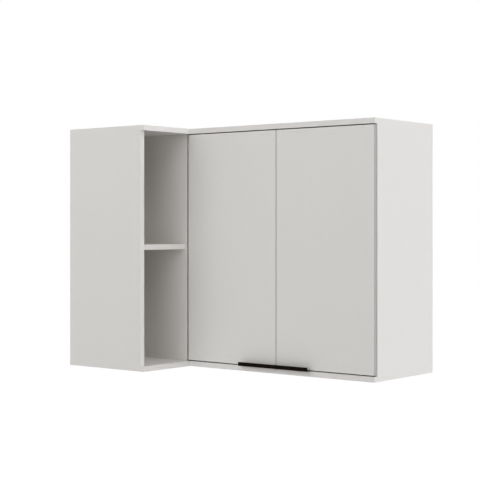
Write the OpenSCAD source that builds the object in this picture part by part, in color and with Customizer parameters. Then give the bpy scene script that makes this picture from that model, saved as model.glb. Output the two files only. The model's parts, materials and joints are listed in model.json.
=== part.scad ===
// Corner wall cabinet. A long box with two doors meets a short arm that comes forward on its left.
// The arm is closed in front and open to the right, where it holds a niche with one shelf.
// The origin lies under the middle of the outline, +Z is up and the doors face -Y.

/* [Overall size] */
// Width along the wall
cabinet_w = 944; // [840:1:1200]
// Depth of the long box, from the wall to the door faces
main_depth = 300; // [270:1:340]
// Width of the short arm
arm_w = 300; // [250:1:350]
// How far the arm comes forward of the door faces
arm_reach = 200; // [195:1:260]
// Height
cabinet_h = 700; // [600:1:800]
// Thickness of the boards
board = 15; // [14:0.5:18]

/* [Doors] */
// Thickness of a door
door_t = 11.5; // [11:0.5:14]
// Thickness of the plastic band around a door's edges
band_t = 0.4; // [0.3:0.1:1]
// Gap between a closed door and the edge behind it
door_back_gap = 1.8; // [1.6:0.1:2.5]
// Gap above and below a door
door_end_gap = 2.8; // [2.6:0.1:4]
// Gap between the two doors
door_mid_gap = 1.6; // [1.5:0.1:5]
// From the right door's edge to the right face of the cabinet
door_side_gap = 2; // [2:0.1:5]
// Gap between the left door and the end of the niche wall
door_niche_gap = 6; // [5:0.5:9]

/* [Handles] */
// Length of a handle
handle_w = 120; // [80:1:160]
// Thickness of the handle's bent strip
handle_t = 2; // [1.5:0.1:2.5]
// How far the lip stands in front of the door
handle_reach = 20; // [15:0.5:26]
// Height of the lip, from its lower edge
handle_lip_h = 11; // [8:0.5:16]
// Height of the fixing leaf behind the door, above the door's lower edge
handle_leaf_h = 22; // [18:1:30]
// Screws in each handle
handle_screws = 3; // [2:1:4]

/* [Niche] */
// Set-back of the front panel and the niche wall from the open side
niche_setback = 13; // [10:0.5:20]
// Height of the underside of the niche shelf
niche_shelf_z = 345; // [220:1:460]
// Set-back of the niche shelf from the open side
niche_shelf_setback = 22; // [18:0.5:40]

/* [Inner shelf and stile] */
// Height of the underside of the inner shelf
inner_shelf_z = 345; // [220:1:460]
// Set-back of the inner shelf from the panels' front edges
inner_shelf_setback = 20; // [16:1:80]
// Play at the ends of the inner shelf
inner_shelf_play = 1; // [0.3:0.1:1]
// Depth of the upright stile that the left door closes against
stile_d = 80; // [60:1:120]
// Radius of a shelf pin
shelf_pin_r = 2.5; // [2:0.1:3]
// Length of a shelf pin
shelf_pin_len = 16; // [14:1:20]
// Depth of a shelf pin in its panel
shelf_pin_sunk = 8; // [7:0.5:9]
// Distance between the pin holes of a column
shelf_hole_pitch = 32; // [25:1:40]
// Holes in a column
shelf_hole_rows = 5; // [1:2:7]

/* [Back] */
// Thickness of the hardboard back
back_t = 3; // [2.5:0.1:4]
// Depth of the groove that holds the back
groove_d = 6; // [4:0.5:8]
// Height of a fixing rail
rail_h = 70; // [60:1:100]
// Distance between the two wall screw holes of a rail
wall_hole_spacing = 600; // [500:1:760]
// Radius of a wall screw hole
wall_hole_r = 3; // [2.5:0.1:4]

/* [Pivots] */
// Distance of the pivot pin from the door's hinged edge
pivot_inset = 4.4; // [4:0.1:4.8]
// Distance of the pivot pin from the door's face
pivot_face = 4.5; // [4.3:0.1:5.5]
// Radius of the pivot pin
pivot_r = 2; // [1.5:0.1:2.2]
// Length of the pivot pin
pivot_len = 9; // [7:0.5:12]
// Running clearance around the pivot pin
pivot_clear = 0.05; // [0.02:0.01:0.1]
// Length of a pivot plate
plate_len = 40; // [34:1:60]
// Thickness of a pivot plate
plate_t = 1.2; // [1:0.1:1.3]
// Thickness of a door bracket
bracket_t = 1; // [0.8:0.1:1.1]
// Height of the bracket's leaf behind the door
bracket_leaf_h = 30; // [26:1:40]
// Outer radius of a pivot washer
washer_r = 3.6; // [3:0.1:4]

/* [Catches] */
// Width of a magnet catch
catch_w = 36; // [30:1:50]
// Depth of a magnet catch
catch_d = 15; // [12:0.5:20]
// Height of a magnet catch
catch_h = 11; // [9:0.5:14]
// Thickness of a strike plate
strike_t = 1; // [0.8:0.1:1.2]

/* [Fixings] */
// Length of a panel screw, head included
screw_len = 50; // [45:1:60]
// Radius of its threaded end
screw_thread_r = 2.5; // [2:0.1:3]
// Radius of its shank
screw_shank_r = 3.5; // [3.2:0.1:3.8]
// Radius of its head
screw_head_r = 5; // [4.5:0.1:5.5]
// Height of its head
screw_head_h = 3; // [2.5:0.1:3.5]
// Thickness of a cover cap
cap_t = 2; // [1.5:0.1:2.5]
// Radius of a dowel
dowel_r = 4; // [3:0.1:4]
// Length of a dowel
dowel_len = 30; // [24:1:35]
// Depth of a dowel in the face of a board
dowel_sunk = 10; // [8:0.5:11]
// Distance between a panel screw and the dowel beside it
dowel_step = 32; // [20:1:36]

/* [Hidden] */
$fn = 40;

// Main planes
left_x = -cabinet_w / 2;
right_x = cabinet_w / 2;
back_y = (main_depth + arm_reach) / 2;
front_y = back_y - main_depth;
arm_front_y = front_y - arm_reach;
inner_x = left_x + arm_w;
floor_z = board;
ceiling_z = cabinet_h - board;
panel_front_y = front_y + door_t + door_back_gap;
niche_edge_x = inner_x - niche_setback;
stile_inner_x = niche_edge_x + board;
back_panel_y = back_y - board - back_t;
cut = 1;
fit_play = 0.1;
end_play = 0.5;
socket_r = 2.3;
socket_depth = 2;

// Doors
left_door_x = niche_edge_x + door_niche_gap;
right_door_x = right_x - door_side_gap;
door_w = (right_door_x - left_door_x - door_mid_gap) / 2;
door_z = floor_z + door_end_gap;
door_h = ceiling_z - door_z - door_end_gap;
door_back_y = front_y + door_t;
pin_hole_play = 0.3;
pin_hole_r = pivot_r + pin_hole_play;
rivet_play = 0.02;
washer_play = 0.02;
front_color = [0.80, 0.79, 0.77];
band_color = [0.68, 0.67, 0.66];
white = [0.88, 0.88, 0.87];
black = [0.05, 0.05, 0.05];
zinc = [0.66, 0.67, 0.69];
dark_steel = [0.14, 0.14, 0.15];

// Small wood screws of the handles, brackets, plates and catches
small_screw_r = 1.5;
small_head_r = 2.6;
small_head_h = 1;
small_screw_len = 9;
handle_screw_inset = 15;
bracket_leaf_start = board;
bracket_screw_drops = [9, 22];
plate_screw_in = 14;
plate_end_in = 10;
plate_screw_points = [plate_screw_in, plate_len - plate_end_in];
leaf_edge = 0.5;
plate_back = 0.5;
plate_front = 1.5;
catch_play = 0.2;
catch_screw_step = 24;
catch_screw_in = 9;
catch_gap = 5;
strike_h = 12;
strike_drop = 2;
strike_w = 30;

// Vertical panel screws, given by where they stand on the top and the bottom board
side_end_in = 40;
side_back_in = 50;
stile_screw_in = 26;
side_ys = [
    panel_front_y + side_end_in,
    (panel_front_y + back_y) / 2,
    back_y - side_back_in - dowel_step
];
left_ys = [arm_front_y + board + side_end_in, front_y - side_end_in, side_ys[1], side_ys[2]];
right_side_points = [for (y = side_ys) [right_x - board / 2, y]];
left_side_points = [for (y = left_ys) [left_x + board / 2, y]];
arm_xs = [left_x + side_end_in + board, niche_edge_x - side_end_in - dowel_step];
arm_front_points = [for (x = arm_xs) [x, arm_front_y + board / 2]];
niche_wall_points = [for (x = arm_xs) [x, front_y + board / 2]];
stile_points = [[niche_edge_x + board / 2, panel_front_y + stile_screw_in]];
rail_count = 4;
rail_step = (cabinet_w - 2 * board - 4 * side_end_in) / (rail_count - 1);
rail_points = [for (i = [0:rail_count - 1])
    [left_x + board + 2 * side_end_in + i * rail_step - dowel_step / 2, back_y - board / 2]];
along_y = [0, dowel_step];
along_x = [dowel_step, 0];
screw_points = concat(right_side_points, left_side_points, arm_front_points,
    niche_wall_points, stile_points, rail_points);
dowel_points = concat(
    moved(right_side_points, along_y), moved(left_side_points, along_y),
    moved(arm_front_points, along_x), moved(niche_wall_points, along_x),
    moved(stile_points, along_y), moved(rail_points, along_x));

// Screws through the left side panel into the niche wall and the niche shelf, given by [y, z]
wall_screw_in = 175;
niche_mid_y = arm_front_y + board + (arm_reach - board) / 2;
side_screw_points = [
    [front_y + board / 2, wall_screw_in],
    [front_y + board / 2, cabinet_h - wall_screw_in],
    [niche_mid_y - side_end_in, niche_shelf_z + board / 2],
    [niche_mid_y + side_end_in, niche_shelf_z + board / 2]
];
shelf_dowel_xs = [left_x + board + side_end_in, niche_edge_x - side_end_in];

// Shelf pins: columns in the side panels and in the stile, given by [x of the face, y, direction]
pin_back_in = 60;
pin_front_in = 37;
shelf_pin_columns = [
    [left_x + board, panel_front_y + pin_front_in, 1],
    [left_x + board, back_y - pin_back_in, 1],
    [stile_inner_x, panel_front_y + pin_front_in, 1],
    [right_x - board, panel_front_y + pin_front_in, -1],
    [right_x - board, back_y - pin_back_in, -1]
];

function moved(points, by) = [for (p = points) p + by];
function pin_row_z(row) =
    inner_shelf_z - shelf_pin_r + (row - (shelf_hole_rows - 1) / 2) * shelf_hole_pitch;

// One box from its lowest to its highest corner
module block(low, high) {
    translate(low) cube(high - low);
}

// Runs its children at the top face and, upside down, at the underside of the cabinet
module both_ends(points) {
    for (p = points) {
        translate([p[0], p[1], cabinet_h]) children();
        translate([p[0], p[1], 0]) mirror([0, 0, 1]) children();
    }
}

// Runs its children at the outer face of the left side panel, with their -Z axis along +X
module left_face(points) {
    for (p = points) translate([left_x, p[0], p[1]]) rotate([0, -90, 0]) children();
}

// Hole for a panel screw: cap and head seat, shank hole and pilot hole, downwards from z = 0
module screw_hole() {
    translate([0, 0, -cap_t - screw_head_h])
        cylinder(h = cap_t + screw_head_h + cut, r = screw_head_r + fit_play);
    translate([0, 0, -board]) cylinder(h = board, r = screw_shank_r + fit_play);
    translate([0, 0, -cap_t - screw_len - end_play]) cylinder(h = screw_len, r = screw_thread_r + fit_play);
}

module panel_screw() {
    difference() {
        union() {
            translate([0, 0, -cap_t - screw_head_h]) cylinder(h = screw_head_h, r = screw_head_r);
            translate([0, 0, -board]) cylinder(h = board - cap_t - screw_head_h, r = screw_shank_r);
            translate([0, 0, -cap_t - screw_len])
                cylinder(h = screw_len + cap_t - board, r = screw_thread_r);
        }
        translate([0, 0, -cap_t - socket_depth]) cylinder(h = screw_head_h, r = socket_r, $fn = 6);
    }
}

module screw_cap() {
    translate([0, 0, -cap_t]) cylinder(h = cap_t, r = screw_head_r);
}

module dowel(play) {
    translate([0, 0, -board - dowel_len + dowel_sunk - play])
        cylinder(h = dowel_len + 2 * play, r = dowel_r + play);
}

// Every screw and dowel hole of an upright board that stands at the given points
module end_holes(points, by) {
    both_ends(points) screw_hole();
    both_ends(moved(points, by)) dowel(fit_play);
}

module side_screw_holes() {
    left_face(side_screw_points) screw_hole();
}

// Blind dowels along Y that join the niche shelf to the panels before and behind it
module shelf_dowels(play) {
    for (x = shelf_dowel_xs)
        for (y = [arm_front_y + board - dowel_sunk - play, front_y + dowel_sunk - dowel_len - play])
            translate([x, y, niche_shelf_z + board / 2]) rotate([-90, 0, 0])
                cylinder(h = dowel_len + 2 * play, r = dowel_r + play);
}

module pin_holes() {
    for (c = shelf_pin_columns)
        for (row = [0:shelf_hole_rows - 1])
            translate([c[0], c[1], pin_row_z(row)]) rotate([0, c[2] * -90, 0]) translate([0, 0, -cut])
                    cylinder(h = shelf_pin_sunk + cut + end_play, r = shelf_pin_r + fit_play / 2);
}

// Space for the edges of the hardboard back
module back_groove() {
    block([left_x + board - groove_d, back_panel_y - fit_play, board - groove_d],
        [right_x - board + groove_d, back_panel_y + back_t + fit_play, cabinet_h - board + groove_d]);
}

module outline() {
    polygon([[left_x, arm_front_y], [inner_x, arm_front_y], [inner_x, front_y],
        [right_x, front_y], [right_x, back_y], [left_x, back_y]]);
}

// A top or bottom board from its lower face up, with every hole that its fixings need
module flat_board(z) {
    difference() {
        translate([0, 0, z]) linear_extrude(board) outline();
        both_ends(screw_points) screw_hole();
        both_ends(dowel_points) dowel(fit_play);
        back_groove();
        pivot_plate_screws(fit_play);
        catch_screw_set(fit_play);
    }
}

module top_panel() {
    color(white) flat_board(ceiling_z);
}

module bottom_panel() {
    color(white) flat_board(0);
}

module right_side_panel() {
    color(white) difference() {
        block([right_x - board, panel_front_y, floor_z], [right_x, back_y, ceiling_z]);
        end_holes(right_side_points, along_y);
        back_groove();
        pin_holes();
    }
}

module left_side_panel() {
    color(white) difference() {
        block([left_x, arm_front_y + board, floor_z], [left_x + board, back_y, ceiling_z]);
        end_holes(left_side_points, along_y);
        side_screw_holes();
        back_groove();
        pin_holes();
    }
}

module arm_front_panel() {
    color(front_color) difference() {
        block([left_x, arm_front_y, floor_z], [niche_edge_x, arm_front_y + board, ceiling_z]);
        end_holes(arm_front_points, along_x);
        shelf_dowels(fit_play);
    }
}

module niche_wall() {
    color(white) difference() {
        block([left_x + board, front_y, floor_z], [niche_edge_x, front_y + board, ceiling_z]);
        end_holes(niche_wall_points, along_x);
        side_screw_holes();
        shelf_dowels(fit_play);
    }
}

module corner_stile() {
    color(white) difference() {
        block([niche_edge_x, panel_front_y, floor_z], [stile_inner_x, panel_front_y + stile_d, ceiling_z]);
        end_holes(stile_points, along_y);
        pin_holes();
    }
}

module niche_shelf() {
    color(white) difference() {
        block([left_x + board, arm_front_y + board, niche_shelf_z],
            [inner_x - niche_shelf_setback, front_y, niche_shelf_z + board]);
        side_screw_holes();
        shelf_dowels(fit_play);
    }
}

module inner_shelf() {
    play = inner_shelf_play;
    color(white) difference() {
        block([left_x + board + play, panel_front_y + inner_shelf_setback, inner_shelf_z],
            [right_x - board - play, back_panel_y - play, inner_shelf_z + board]);
        block([niche_edge_x - play, panel_front_y, inner_shelf_z - cut],
            [stile_inner_x + play, panel_front_y + stile_d + play, inner_shelf_z + board + cut]);
    }
}

// Holes for the wall screws, through the back and a rail
module wall_holes(z) {
    for (side = [-1, 1])
        translate([side * wall_hole_spacing / 2, back_panel_y - cut, z]) rotate([-90, 0, 0])
            cylinder(h = back_t + board + 2 * cut, r = wall_hole_r);
}

module back_panel() {
    color([0.85, 0.85, 0.84]) difference() {
        block([left_x + board - groove_d + end_play, back_panel_y, floor_z - groove_d + end_play],
            [right_x - board + groove_d - end_play, back_panel_y + back_t, ceiling_z + groove_d - end_play]);
        wall_holes(floor_z + rail_h / 2);
        wall_holes(ceiling_z - rail_h / 2);
    }
}

// A rail behind the back, flush with the wall side, between the side panels
module rail(z) {
    difference() {
        block([left_x + board, back_y - board, z], [right_x - board, back_y, z + rail_h]);
        wall_holes(z + rail_h / 2);
        end_holes(rail_points, along_x);
    }
}

module hanging_rail() {
    color([0.80, 0.72, 0.58]) rail(ceiling_z - rail_h);
}

module lower_rail() {
    color([0.80, 0.72, 0.58]) rail(floor_z);
}

module panel_screws() {
    color(zinc) {
        both_ends(screw_points) panel_screw();
        left_face(side_screw_points) panel_screw();
    }
}

module screw_caps() {
    color(white) {
        both_ends(screw_points) screw_cap();
        left_face(side_screw_points) screw_cap();
    }
}

module panel_dowels() {
    color([0.82, 0.68, 0.48]) {
        both_ends(dowel_points) dowel(0);
        shelf_dowels(0);
    }
}

module shelf_pins() {
    color(zinc) for (c = shelf_pin_columns)
        translate([c[0] - c[2] * shelf_pin_sunk, c[1], inner_shelf_z - shelf_pin_r])
            rotate([0, c[2] * 90, 0]) cylinder(h = shelf_pin_len, r = shelf_pin_r);
}

// Runs its children at a door's hinged edge, once upright and once upside down for the lower end.
// There +X runs along the door, +Y out of its face, and z = 0 is the middle of its height.
module right_pivots() {
    for (flip = [0, 1])
        translate([right_door_x, panel_front_y, cabinet_h / 2])
            rotate([0, 0, 180]) mirror([0, 0, flip]) children();
}

module left_pivots() {
    for (flip = [0, 1])
        translate([left_door_x, panel_front_y, cabinet_h / 2])
            mirror([0, 1, 0]) mirror([0, 0, flip]) children();
}

// The next modules are drawn in that frame, for the upper end of a door
gap_top = cabinet_h / 2 - board;
door_top = door_h / 2;
pivot_v = door_back_gap + door_t - pivot_face;

module pivot_plate() {
    difference() {
        block([leaf_edge, door_back_gap + plate_back, gap_top - plate_t],
            [plate_len, door_back_gap + door_t - plate_front, gap_top]);
        translate([pivot_inset, pivot_v, gap_top - plate_t - cut])
            cylinder(h = plate_t + 2 * cut, r = pivot_r + rivet_play);
        plate_screw_pair(fit_play);
    }
}

module plate_screw_pair(play) {
    for (s = plate_screw_points) translate([s, pivot_v, gap_top - plate_t]) {
        cylinder(h = plate_t, r1 = small_head_r + play, r2 = small_screw_r + play);
        cylinder(h = plate_t + small_screw_len + play, r = small_screw_r + play);
    }
}

module pivot_plate_screws(play) {
    right_pivots() plate_screw_pair(play);
    left_pivots() plate_screw_pair(play);
}

module pivot_pin() {
    translate([pivot_inset, pivot_v, gap_top - pivot_len]) cylinder(h = pivot_len, r = pivot_r);
}

module pivot_washer() {
    translate([pivot_inset, pivot_v, door_top + bracket_t]) difference() {
        cylinder(h = door_end_gap - plate_t - bracket_t - washer_play, r = washer_r);
        translate([0, 0, -cut]) cylinder(h = door_end_gap + 2 * cut, r = pivot_r + pivot_clear);
    }
}

// Bent bracket: a leaf on the door's end edge and a leaf on its back
module door_bracket() {
    difference() {
        union() {
            block([leaf_edge, door_back_gap, door_top],
                [plate_len, door_back_gap + door_t - plate_front, door_top + bracket_t]);
            block([bracket_leaf_start, door_back_gap - bracket_t, door_top - bracket_leaf_h],
                [plate_len, door_back_gap, door_top + bracket_t]);
        }
        translate([pivot_inset, pivot_v, door_top - cut])
            cylinder(h = bracket_t + 2 * cut, r = pivot_r + pivot_clear);
        bracket_screw_pair(fit_play);
    }
}

module bracket_screw_pair(play) {
    mid = (bracket_leaf_start + plate_len) / 2;
    for (drop = bracket_screw_drops)
        translate([mid, door_back_gap - bracket_t, door_top - drop]) rotate([-90, 0, 0]) {
            cylinder(h = bracket_t, r1 = small_head_r + play, r2 = small_screw_r + play);
            cylinder(h = bracket_t + small_screw_len + play, r = small_screw_r + play);
        }
}

module pin_bore() {
    translate([pivot_inset, pivot_v, gap_top - pivot_len - end_play]) cylinder(h = pivot_len, r = pin_hole_r);
}

module pivot_plates() {
    color(dark_steel) {
        right_pivots() pivot_plate();
        left_pivots() pivot_plate();
    }
}

module pivot_pins() {
    color(dark_steel) {
        right_pivots() pivot_pin();
        left_pivots() pivot_pin();
    }
}

module plate_screws() {
    color(dark_steel) pivot_plate_screws(0);
}

// The slab of a door whose left edge is at x, drawn in by the inset on its four edges
module door_slab(x, inset, proud = 0) {
    block([x + inset, front_y - proud, door_z + inset],
        [x + door_w - inset, door_back_y + proud, door_z + door_h - inset]);
}

// The band that is glued around the four edges of such a door
module edge_band(x) {
    difference() {
        door_slab(x, 0);
        door_slab(x, band_t, cut);
    }
}

// Middle of a handle along X, for the door whose free edge is at x and lies towards the side
function handle_mid(x, side) = x - side * handle_w / 2;
left_free_x = left_door_x + door_w;
right_free_x = right_door_x - door_w;

module handle(x, side) {
    mid = handle_mid(x, side);
    difference() {
        translate([mid - handle_w / 2, 0, 0]) rotate([90, 0, 90]) linear_extrude(handle_w) polygon([
            [front_y - handle_reach, door_z - handle_t],
            [door_back_y + handle_t, door_z - handle_t],
            [door_back_y + handle_t, door_z + handle_leaf_h],
            [door_back_y, door_z + handle_leaf_h],
            [door_back_y, door_z],
            [front_y - handle_reach + handle_t, door_z],
            [front_y - handle_reach + handle_t, door_z - handle_t + handle_lip_h],
            [front_y - handle_reach, door_z - handle_t + handle_lip_h]
        ]);
        handle_screw_row(x, side, fit_play);
    }
}

module handle_screw_row(x, side, play) {
    mid = handle_mid(x, side);
    span = handle_w - 2 * handle_screw_inset;
    for (i = [0:handle_screws - 1])
        translate([mid - span / 2 + i * span / (handle_screws - 1), door_back_y + handle_t,
            door_z + handle_leaf_h / 2]) rotate([90, 0, 0]) {
            cylinder(h = handle_t, r1 = small_head_r + play, r2 = small_screw_r + play);
            cylinder(h = handle_t + small_screw_len + play, r = small_screw_r + play);
        }
}

// Catches hang from the top board, each behind the free edge of its door
catch_offset = door_mid_gap / 2 + catch_gap + catch_w / 2;
mid_x = (left_free_x + right_free_x) / 2;
catch_y = door_back_y + strike_t + catch_play;

module catch_body(side) {
    x = mid_x + side * catch_offset;
    difference() {
        block([x - catch_w / 2, catch_y, ceiling_z - catch_h], [x + catch_w / 2, catch_y + catch_d, ceiling_z]);
        catch_screw_set(fit_play);
    }
}

module catch_screw_set(play) {
    for (side = [-1, 1])
        for (end = [-1, 1])
            translate([mid_x + side * catch_offset + end * catch_screw_step / 2, catch_y + catch_screw_in,
                ceiling_z - catch_h]) {
                cylinder(h = small_head_h + play, r = small_head_r + play);
                cylinder(h = catch_h + small_screw_len + play, r = small_screw_r + play);
            }
}

module strike_plate(side) {
    x = mid_x + side * catch_offset;
    color(zinc) block([x - strike_w / 2, door_back_y, door_z + door_h - strike_drop - strike_h],
        [x + strike_w / 2, door_back_y + strike_t, door_z + door_h - strike_drop]);
}

module magnet_catches() {
    color([0.35, 0.35, 0.36]) {
        catch_body(-1);
        catch_body(1);
    }
}

module catch_screws() {
    color(zinc) catch_screw_set(0);
}

module left_door() {
    color(front_color) difference() {
        door_slab(left_door_x, band_t);
        left_pivots() pin_bore();
        left_pivots() bracket_screw_pair(fit_play);
        handle_screw_row(left_free_x, 1, fit_play);
    }
}

module right_door() {
    color(front_color) difference() {
        door_slab(right_free_x, band_t);
        right_pivots() pin_bore();
        right_pivots() bracket_screw_pair(fit_play);
        handle_screw_row(right_free_x, -1, fit_play);
    }
}

module left_edge_band() {
    color(band_color) difference() {
        edge_band(left_door_x);
        left_pivots() pin_bore();
    }
}

module right_edge_band() {
    color(band_color) difference() {
        edge_band(right_free_x);
        right_pivots() pin_bore();
    }
}

module left_handle() {
    color(black) handle(left_free_x, 1);
}

module right_handle() {
    color(black) handle(right_free_x, -1);
}

module left_handle_screws() {
    color(zinc) handle_screw_row(left_free_x, 1, 0);
}

module right_handle_screws() {
    color(zinc) handle_screw_row(right_free_x, -1, 0);
}

module left_door_brackets() {
    color(dark_steel) left_pivots() door_bracket();
}

module right_door_brackets() {
    color(dark_steel) right_pivots() door_bracket();
}

module left_bracket_screws() {
    color(dark_steel) left_pivots() bracket_screw_pair(0);
}

module right_bracket_screws() {
    color(dark_steel) right_pivots() bracket_screw_pair(0);
}

module left_pivot_washers() {
    color(black) left_pivots() pivot_washer();
}

module right_pivot_washers() {
    color(black) right_pivots() pivot_washer();
}

module left_strike_plate() {
    strike_plate(-1);
}

module right_strike_plate() {
    strike_plate(1);
}

top_panel();
bottom_panel();
right_side_panel();
left_side_panel();
arm_front_panel();
niche_wall();
corner_stile();
niche_shelf();
inner_shelf();
back_panel();
hanging_rail();
lower_rail();
panel_screws();
screw_caps();
panel_dowels();
shelf_pins();
pivot_plates();
pivot_pins();
plate_screws();
magnet_catches();
catch_screws();
left_door();
left_edge_band();
left_handle();
left_handle_screws();
left_door_brackets();
left_bracket_screws();
left_pivot_washers();
left_strike_plate();
right_door();
right_edge_band();
right_handle();
right_handle_screws();
right_door_brackets();
right_bracket_screws();
right_pivot_washers();
right_strike_plate();
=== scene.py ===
import json
import math
import bpy
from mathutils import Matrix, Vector


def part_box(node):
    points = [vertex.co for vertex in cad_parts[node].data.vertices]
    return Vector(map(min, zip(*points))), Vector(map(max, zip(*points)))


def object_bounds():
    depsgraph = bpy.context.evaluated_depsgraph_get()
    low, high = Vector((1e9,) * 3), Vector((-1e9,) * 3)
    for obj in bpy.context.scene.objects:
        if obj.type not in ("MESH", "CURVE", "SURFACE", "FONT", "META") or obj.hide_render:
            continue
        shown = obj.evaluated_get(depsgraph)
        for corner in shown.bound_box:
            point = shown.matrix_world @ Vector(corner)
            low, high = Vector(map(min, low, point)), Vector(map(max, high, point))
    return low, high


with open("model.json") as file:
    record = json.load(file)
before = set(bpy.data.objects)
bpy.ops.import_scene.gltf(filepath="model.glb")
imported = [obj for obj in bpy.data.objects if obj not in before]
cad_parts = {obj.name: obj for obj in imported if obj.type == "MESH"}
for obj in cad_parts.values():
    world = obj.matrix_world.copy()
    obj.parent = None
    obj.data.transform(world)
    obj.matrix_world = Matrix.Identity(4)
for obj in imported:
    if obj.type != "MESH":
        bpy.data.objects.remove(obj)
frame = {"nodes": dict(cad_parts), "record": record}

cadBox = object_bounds()
nodes = frame["nodes"]
print("frame loaded,", len(nodes), "CAD nodes")

# One real millimetre, in scene metres
mm = 0.001

# Index of refraction of melamine film, lacquer, plastic and wood alike; metals keep the default
resinIor = 1.5

# How much finer structure a noise pattern holds
octaves = {"smooth": 1.0, "even": 2.0, "cloudy": 3.0, "woody": 4.0}


def hexToLinear(code):
    # sRGB hex such as "#E6E5E2" to linear RGBA
    parts = [int(code[i:i + 2], 16) / 255 for i in (1, 3, 5)]
    linear = [p / 12.92 if p <= 0.04045 else ((p + 0.055) / 1.055) ** 2.4 for p in parts]
    return (*linear, 1.0)


def addNode(tree, kind, links=None, **settings):
    # One node with its settings; links maps an input's name or number to a socket or a value
    node = tree.nodes.new(kind)
    for key, value in settings.items():
        setattr(node, key, value)
    for name, value in (links or {}).items():
        if isinstance(value, bpy.types.NodeSocket):
            tree.links.new(value, node.inputs[name])
        else:
            node.inputs[name].default_value = value
    return node


def newSurface(name):
    # A new material with an empty tree
    material = bpy.data.materials.new(name)
    material.use_nodes = True
    material.node_tree.nodes.clear()
    return material, material.node_tree


def patternPlace(tree, sizes):
    # The object's own place, counted in the real sizes of a pattern's marks along X, Y and Z
    place = addNode(tree, "ShaderNodeTexCoord")
    scale = [1 / size for size in sizes]
    return addNode(tree, "ShaderNodeMapping", {"Vector": place.outputs["Object"], "Scale": scale}).outputs[0]


def finishSurface(material, finish, pattern, bump, extras):
    # What every finish ends in: its pattern runs between its two tones, and one shader takes the
    # tone and the bump
    tree = material.node_tree
    tone = addNode(tree, "ShaderNodeValToRGB", {"Fac": pattern.outputs["Fac"]})
    shade, base = tone.color_ramp.elements
    shade.position, base.position = finish.get("toneSpan", (0.0, 1.0))
    shade.color, base.color = hexToLinear(finish["shade"]), hexToLinear(finish["base"])
    shader = addNode(tree, "ShaderNodeBsdfPrincipled", {
        "Base Color": tone.outputs["Color"], "Roughness": finish["roughness"],
        "Normal": bump.outputs["Normal"], **extras})
    addNode(tree, "ShaderNodeOutputMaterial", {"Surface": shader.outputs[0]})
    return material


# Melamine-faced chipboard of the cabinet's own boards
melamine = {
    "base": "#DBD8D4",
    "shade": "#D9D6D2",
    "toneSpan": (0.3, 0.7),     # where the pattern starts and ends its run between the tones
    "roughness": 0.42,
    "streak": 3 * mm,           # width of the faint drawn lines
    "streakLength": 180 * mm,
    "streakHeight": 0.006 * mm,
    "pearl": 0.9 * mm,          # the press plate's pearl grain, drawn a little coarse so that it shows
    "pearlHeight": 0.015 * mm,
}


def makeMelamine(name, lengthAxis):
    # Satin white paper film pressed on chipboard: an even pale sheet with a barely seen draw along
    # the board and a fine pearl grain that softens the highlights
    m = melamine
    material, tree = newSurface(name)
    streakSizes = [m["streak"]] * 3
    streakSizes[lengthAxis] = m["streakLength"]
    streaks = addNode(tree, "ShaderNodeTexNoise", {
        "Vector": patternPlace(tree, streakSizes), "Scale": 1.0, "Detail": octaves["cloudy"]})
    pearl = addNode(tree, "ShaderNodeTexNoise", {
        "Vector": patternPlace(tree, [m["pearl"]] * 3), "Scale": 1.0, "Detail": octaves["even"]})
    streakBump = addNode(tree, "ShaderNodeBump", {
        "Height": streaks.outputs["Fac"], "Distance": m["streakHeight"]})
    bump = addNode(tree, "ShaderNodeBump", {
        "Height": pearl.outputs["Fac"], "Distance": m["pearlHeight"],
        "Normal": streakBump.outputs["Normal"]})
    return finishSurface(material, m, streaks, bump, {"IOR": resinIor})


# UV-lacquered fibreboard of the doors and the arm's front
lacquer = {
    "base": "#DAD8D3",
    "shade": "#D9D7D2",
    "toneSpan": (0.35, 0.65),
    "roughness": 0.5,
    "mottle": 8 * mm,           # faint drift of tone over a sprayed panel
    "peel": 1.6 * mm,           # orange peel of the lacquer
    "peelHeight": 0.015 * mm,
}


def makeLacquer():
    # Matt warm-white lacquer on fibreboard: no grain, a very slight drift of tone and orange peel
    m = lacquer
    material, tree = newSurface("warmWhiteLacquerMatt")
    drift = addNode(tree, "ShaderNodeTexNoise", {
        "Vector": patternPlace(tree, [m["mottle"]] * 3), "Scale": 1.0, "Detail": octaves["even"]})
    peel = addNode(tree, "ShaderNodeTexNoise", {
        "Vector": patternPlace(tree, [m["peel"]] * 3), "Scale": 1.0, "Detail": octaves["smooth"]})
    bump = addNode(tree, "ShaderNodeBump", {"Height": peel.outputs["Fac"], "Distance": m["peelHeight"]})
    return finishSurface(material, m, drift, bump, {"IOR": resinIor})


# Black powder coat of the handles
powderCoat = {
    "base": "#17110D",
    "shade": "#120D0A",
    "specular": 0.02,           # the dry coat hardly mirrors anything
    "roughness": 0.6,
    "grain": 0.5 * mm,
    "grainHeight": 0.03 * mm,
}


def makePowderCoat():
    # Matt black powder coat on bent aluminium: near black, with a fine even texture that breaks
    # the highlight along the lip
    m = powderCoat
    material, tree = newSurface("blackPowderCoatMatt")
    grain = addNode(tree, "ShaderNodeTexNoise", {
        "Vector": patternPlace(tree, [m["grain"]] * 3), "Scale": 1.0, "Detail": octaves["even"]})
    bump = addNode(tree, "ShaderNodeBump", {"Height": grain.outputs["Fac"], "Distance": m["grainHeight"]})
    return finishSurface(material, m, grain, bump, {"IOR": resinIor, "Specular IOR Level": m["specular"]})


# Steels of the fittings: zinc-plated screws, pins and plates, and black phosphated pivots
steels = {
    "zincPlatedSteel": {
        "base": "#C4C6C8", "shade": "#A4A7AB", "roughness": 0.34,
        "cloud": 2.5 * mm, "grit": 0.6 * mm, "gritHeight": 0.01 * mm,
    },
    "blackPhosphatedSteel": {
        "base": "#2C2C2E", "shade": "#232325", "roughness": 0.5,
        "cloud": 1.5 * mm, "grit": 0.6 * mm, "gritHeight": 0.02 * mm,
    },
}


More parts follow.
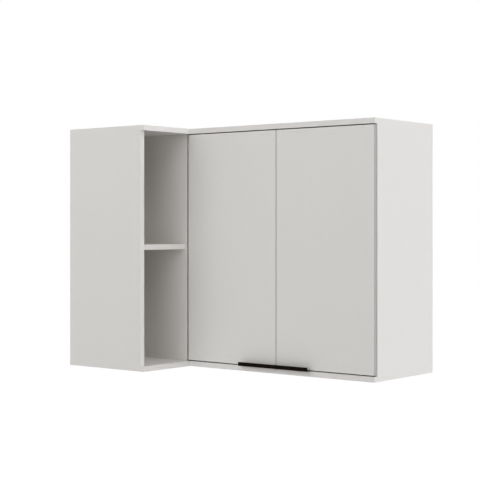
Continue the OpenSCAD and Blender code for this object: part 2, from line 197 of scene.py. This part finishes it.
def makeSteel(name):
    # Pressed steel: bright zinc shows as cool grey metal with soft cloudy patches, and phosphate as
    # a dry charcoal skin with a dull sheen
    m = steels[name]
    material, tree = newSurface(name)
    clouds = addNode(tree, "ShaderNodeTexNoise", {
        "Vector": patternPlace(tree, [m["cloud"]] * 3), "Scale": 1.0, "Detail": octaves["cloudy"]})
    grit = addNode(tree, "ShaderNodeTexNoise", {
        "Vector": patternPlace(tree, [m["grit"]] * 3), "Scale": 1.0, "Detail": octaves["smooth"]})
    bump = addNode(tree, "ShaderNodeBump", {"Height": grit.outputs["Fac"], "Distance": m["gritHeight"]})
    return finishSurface(material, m, clouds, bump, {"Metallic": 1.0})


# Bare woods inside the joints and behind the back, with their grain along X
woods = {
    "pineSanded": {
        "base": "#D9BE8E", "shade": "#C19A62", "toneSpan": (0.4, 0.6), "roughness": 0.62,
        "ring": 7 * mm, "ringLength": 182 * mm, "waver": 0.6, "ringHeight": 0.05 * mm,
    },
    "beechTurned": {
        "base": "#D3B083", "shade": "#BC9263", "toneSpan": (0.4, 0.6), "roughness": 0.55,
        "ring": 2.5 * mm, "ringLength": 7.5 * mm, "waver": 0.6, "ringHeight": 0.05 * mm,
    },
}


def makeWood(name):
    # Sanded pine or turned beech: pale wood with darker year rings drawn out along the piece
    m = woods[name]
    material, tree = newSurface(name)
    rings = addNode(tree, "ShaderNodeTexNoise", {
        "Vector": patternPlace(tree, (m["ringLength"], m["ring"], m["ring"])), "Scale": 1.0,
        "Detail": octaves["woody"], "Distortion": m["waver"]})
    bump = addNode(tree, "ShaderNodeBump", {"Height": rings.outputs["Fac"], "Distance": m["ringHeight"]})
    return finishSurface(material, m, rings, bump, {"IOR": resinIor})


# Painted hardboard and the plastics share one build: two close tones and a fine bump
plains = {
    # The doors' edge band: its grey is painted shade, standing in for the shade on the doors' edges in the
    # narrow step beside the side panel
    "greyBandPaintedShade": {
        "base": "#A6A5A4", "shade": "#A2A1A0", "roughness": 0.45,
        "grain": 1.2 * mm, "grainHeight": 0.02 * mm,
    },
    "paintedHardboard": {
        "base": "#E2E1DD", "shade": "#D8D7D2", "roughness": 0.6,
        "grain": 1.8 * mm, "grainHeight": 0.06 * mm,
    },
    "whitePolypropylene": {
        "base": "#E8E8E5", "shade": "#E0E0DC", "roughness": 0.4,
        "grain": 0.8 * mm, "grainHeight": 0.02 * mm,
    },
    "greyAcetal": {
        "base": "#5D5E60", "shade": "#515254", "roughness": 0.38,
        "grain": 0.8 * mm, "grainHeight": 0.02 * mm,
    },
    "blackNylon": {
        "base": "#1B1B1C", "shade": "#151516", "roughness": 0.4,
        "grain": 0.8 * mm, "grainHeight": 0.01 * mm,
    },
}


def makePlain(name):
    # Rolled paint or moulded plastic: even colour, small texture, soft highlight
    m = plains[name]
    material, tree = newSurface(name)
    grain = addNode(tree, "ShaderNodeTexNoise", {
        "Vector": patternPlace(tree, [m["grain"]] * 3), "Scale": 1.0, "Detail": octaves["even"]})
    bump = addNode(tree, "ShaderNodeBump", {"Height": grain.outputs["Fac"], "Distance": m["grainHeight"]})
    return finishSurface(material, m, grain, bump, {"IOR": resinIor})


# The finish of each of the record's material slots; boards that lie flat have a melamine of their own
finishes = {
    "white_board": makeMelamine("whiteMelamineUpright", 2),
    "front_board": makeLacquer(),
    # the doors' edges take the grey band, whose grey is painted shade
    "edge_band": makePlain("greyBandPaintedShade"),
    "black_metal": makePowderCoat(),
    "zinc_plated_steel": makeSteel("zincPlatedSteel"),
    "black_steel": makeSteel("blackPhosphatedSteel"),
    "softwood": makeWood("pineSanded"),
    "beech": makeWood("beechTurned"),
    "hardboard": makePlain("paintedHardboard"),
    "white_plastic": makePlain("whitePolypropylene"),
    "grey_plastic": makePlain("greyAcetal"),
    "nylon": makePlain("blackNylon"),
}
lyingMelamine = makeMelamine("whiteMelamineLying", 0)
print("materials made:", len(finishes) + 1)

# Width of the round on the edges of each kind of piece
roundWidths = {
    "white_board": 0.6 * mm,
    "front_board": 0.3 * mm,
    "edge_band": 0.12 * mm,
    "black_metal": 0.35 * mm,
    "zinc_plated_steel": 0.15 * mm,
    "black_steel": 0.15 * mm,
    "softwood": 0.8 * mm,
    "white_plastic": 0.2 * mm,
    "grey_plastic": 0.4 * mm,
}
rounding = {
    "segments": 3,
    "leastAngle": 40,           # degrees between two faces from which their edge is rounded
    "weldGap": 0.002 * mm,
}


def dressNode(name, slotName):
    # The finish of one CAD node, and a small round on its edges; flat boards have theirs drawn along X
    piece = nodes[name]
    low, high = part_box(name)
    liesFlat = slotName == "white_board" and high[2] - low[2] < high[1] - low[1]
    piece.data.materials.clear()
    piece.data.materials.append(lyingMelamine if liesFlat else finishes[slotName])
    if slotName not in roundWidths:
        return
    weld = piece.modifiers.new("weld", "WELD")
    weld.merge_threshold = rounding["weldGap"]
    bevel = piece.modifiers.new("round", "BEVEL")
    bevel.width = roundWidths[slotName]
    bevel.segments = rounding["segments"]
    bevel.limit_method = "ANGLE"
    bevel.angle_limit = math.radians(rounding["leastAngle"])
    bevel.harden_normals = True


for part in frame["record"]["subparts"]:
    dressNode(part["node"], part["material_slot"])
print("nodes dressed")

# Studio: a pale floor under the hanging cabinet, white surroundings and soft lamps
studio = {
    "floorDrop": 3.0,           # far enough down for a view of the underside
    "floorReach": 60.0,         # from the middle to each side
    "floorColor": "#D6D6D6",
    "floorMottle": 125 * mm,
    "floorMottleHeight": 0.02 * mm,
    "whiteShare": 0.85,         # how much of the floor is plain white to the camera
    "whiteLift": 1.08,          # makes up for the rest, which the lamps light to less than white
    "ambient": 0.11,
    "ambientColor": "#FFD2AC",  # a touch of warmth in the shaded niche
    "lampColor": "#F5FAFF",     # the slightly cool white of a soft box
}
plainWhite = (1, 1, 1, 1)

# The soft boxes: azimuth from the front towards the right and height above the horizon, in degrees,
# the angle that each fills and the light that it gives at the cabinet's middle. The one with a
# distance stands near, so the doors are a little lighter at the top
lamps = {
    "frontLeftLamp": {"azimuth": -13, "height": 26, "softness": 38, "strength": 0.85, "distance": 4.0},
    "frontRightLamp": {"azimuth": 20, "height": 8, "softness": 40, "strength": 1.11},
    "rightHighLamp": {"azimuth": 90, "height": 45, "softness": 40, "strength": 1.85},
    "rightRearLamp": {"azimuth": 120, "height": 8, "softness": 40, "strength": 0.94},
    "rearLeftLamp": {"azimuth": -135, "height": 45, "softness": 40, "strength": 1.57},
}


def seenByCamera(tree):
    # 1 for what the camera sees, by itself, in gloss or through glass, and 0 for the light on the object
    ray = addNode(tree, "ShaderNodeLightPath")
    seen = ray.outputs["Is Camera Ray"]
    for way in ("Is Glossy Ray", "Is Transmission Ray"):
        either = addNode(tree, "ShaderNodeMath", {0: seen, 1: ray.outputs[way]}, operation="MAXIMUM")
        seen = either.outputs[0]
    return seen


def makeFloor():
    # Matt pale studio floor; to the camera it is lifted to white, and the shadow stays
    reach = studio["floorReach"]
    z = cadBox[0][2] - studio["floorDrop"]
    corners = [(-reach, -reach, z), (reach, -reach, z), (reach, reach, z), (-reach, reach, z)]
    mesh = bpy.data.meshes.new("floor")
    mesh.from_pydata(corners, [], [(0, 1, 2, 3)])
    floor = bpy.data.objects.new("floor", mesh)
    bpy.context.scene.collection.objects.link(floor)
    material, tree = newSurface("paleFloorPaint")
    mottle = addNode(tree, "ShaderNodeTexNoise", {
        "Vector": patternPlace(tree, [studio["floorMottle"]] * 3), "Scale": 1.0})
    bump = addNode(tree, "ShaderNodeBump", {
        "Height": mottle.outputs["Fac"], "Distance": studio["floorMottleHeight"]})
    matt = addNode(tree, "ShaderNodeBsdfDiffuse", {
        "Color": hexToLinear(studio["floorColor"]), "Normal": bump.outputs["Normal"]})
    white = addNode(tree, "ShaderNodeEmission", {"Color": plainWhite, "Strength": studio["whiteLift"]})
    share = addNode(tree, "ShaderNodeMath", {0: seenByCamera(tree), 1: studio["whiteShare"]},
        operation="MULTIPLY")
    mix = addNode(tree, "ShaderNodeMixShader", {0: share.outputs[0], 1: matt.outputs[0], 2: white.outputs[0]})
    addNode(tree, "ShaderNodeOutputMaterial", {"Surface": mix.outputs[0]})
    mesh.materials.append(material)


def makeWorld():
    # Even studio light all round; the camera, gloss and glass see plain white
    world = bpy.data.worlds.new("studioWorld")
    bpy.context.scene.world = world
    world.use_nodes = True
    tree = world.node_tree
    tree.nodes.clear()
    soft = addNode(tree, "ShaderNodeBackground", {
        "Color": hexToLinear(studio["ambientColor"]), "Strength": studio["ambient"]})
    white = addNode(tree, "ShaderNodeBackground", {"Color": plainWhite, "Strength": 1.0})
    seen = seenByCamera(tree)
    mix = addNode(tree, "ShaderNodeMixShader", {0: seen, 1: soft.outputs[0], 2: white.outputs[0]})
    addNode(tree, "ShaderNodeOutputWorld", {"Surface": mix.outputs[0]})


def makeLamp(name):
    # A round soft box near the cabinet, or one so far away that it is a sun with a wide disc
    lamp = lamps[name]
    distance = lamp.get("distance")
    data = bpy.data.lights.new(name, "AREA" if distance else "SUN")
    data.color = hexToLinear(studio["lampColor"])[:3]
    holder = bpy.data.objects.new(name, data)
    turn, height = math.radians(lamp["azimuth"]), math.radians(lamp["height"])
    source = Vector((math.sin(turn) * math.cos(height), -math.cos(turn) * math.cos(height), math.sin(height)))
    holder.rotation_euler = source.to_track_quat("Z", "Y").to_euler()
    angle = math.radians(lamp["softness"])
    if distance:
        middle = (Vector(cadBox[0]) + Vector(cadBox[1])) / 2
        holder.location = middle + distance * source
        data.shape = "DISK"
        data.size = 2 * distance * math.tan(angle / 2)
        data.energy = lamp["strength"] * math.pi * distance ** 2
    else:
        data.energy = lamp["strength"]
        data.angle = angle
    bpy.context.scene.collection.objects.link(holder)


# The photograph's view: level, from the front right, with the rise done by the lens shift
view = {
    "place": (2.310, -2.904, 0.414),
    "azimuth": 38.79,
    "tilt": 90,                 # from straight down, so 90 is level
    "lens": 96.0,
    "sensor": 36.0,
    "shiftY": -0.0296,
    "clipEnd": 200,             # past the floor's far corners
}


def makeCamera():
    data = bpy.data.cameras.new("photoCamera")
    data.sensor_width = view["sensor"]
    data.sensor_fit = "HORIZONTAL"
    data.lens = view["lens"]
    data.shift_y = view["shiftY"]
    data.clip_end = view["clipEnd"]
    camera = bpy.data.objects.new("photoCamera", data)
    camera.location = view["place"]
    camera.rotation_euler = (math.radians(view["tilt"]), 0, math.radians(view["azimuth"]))
    bpy.context.scene.collection.objects.link(camera)
    bpy.context.scene.camera = camera


makeCamera()
makeFloor()
makeWorld()
for lampName in lamps:
    makeLamp(lampName)
bpy.context.scene.view_settings.view_transform = "Standard"
print("studio and camera set")
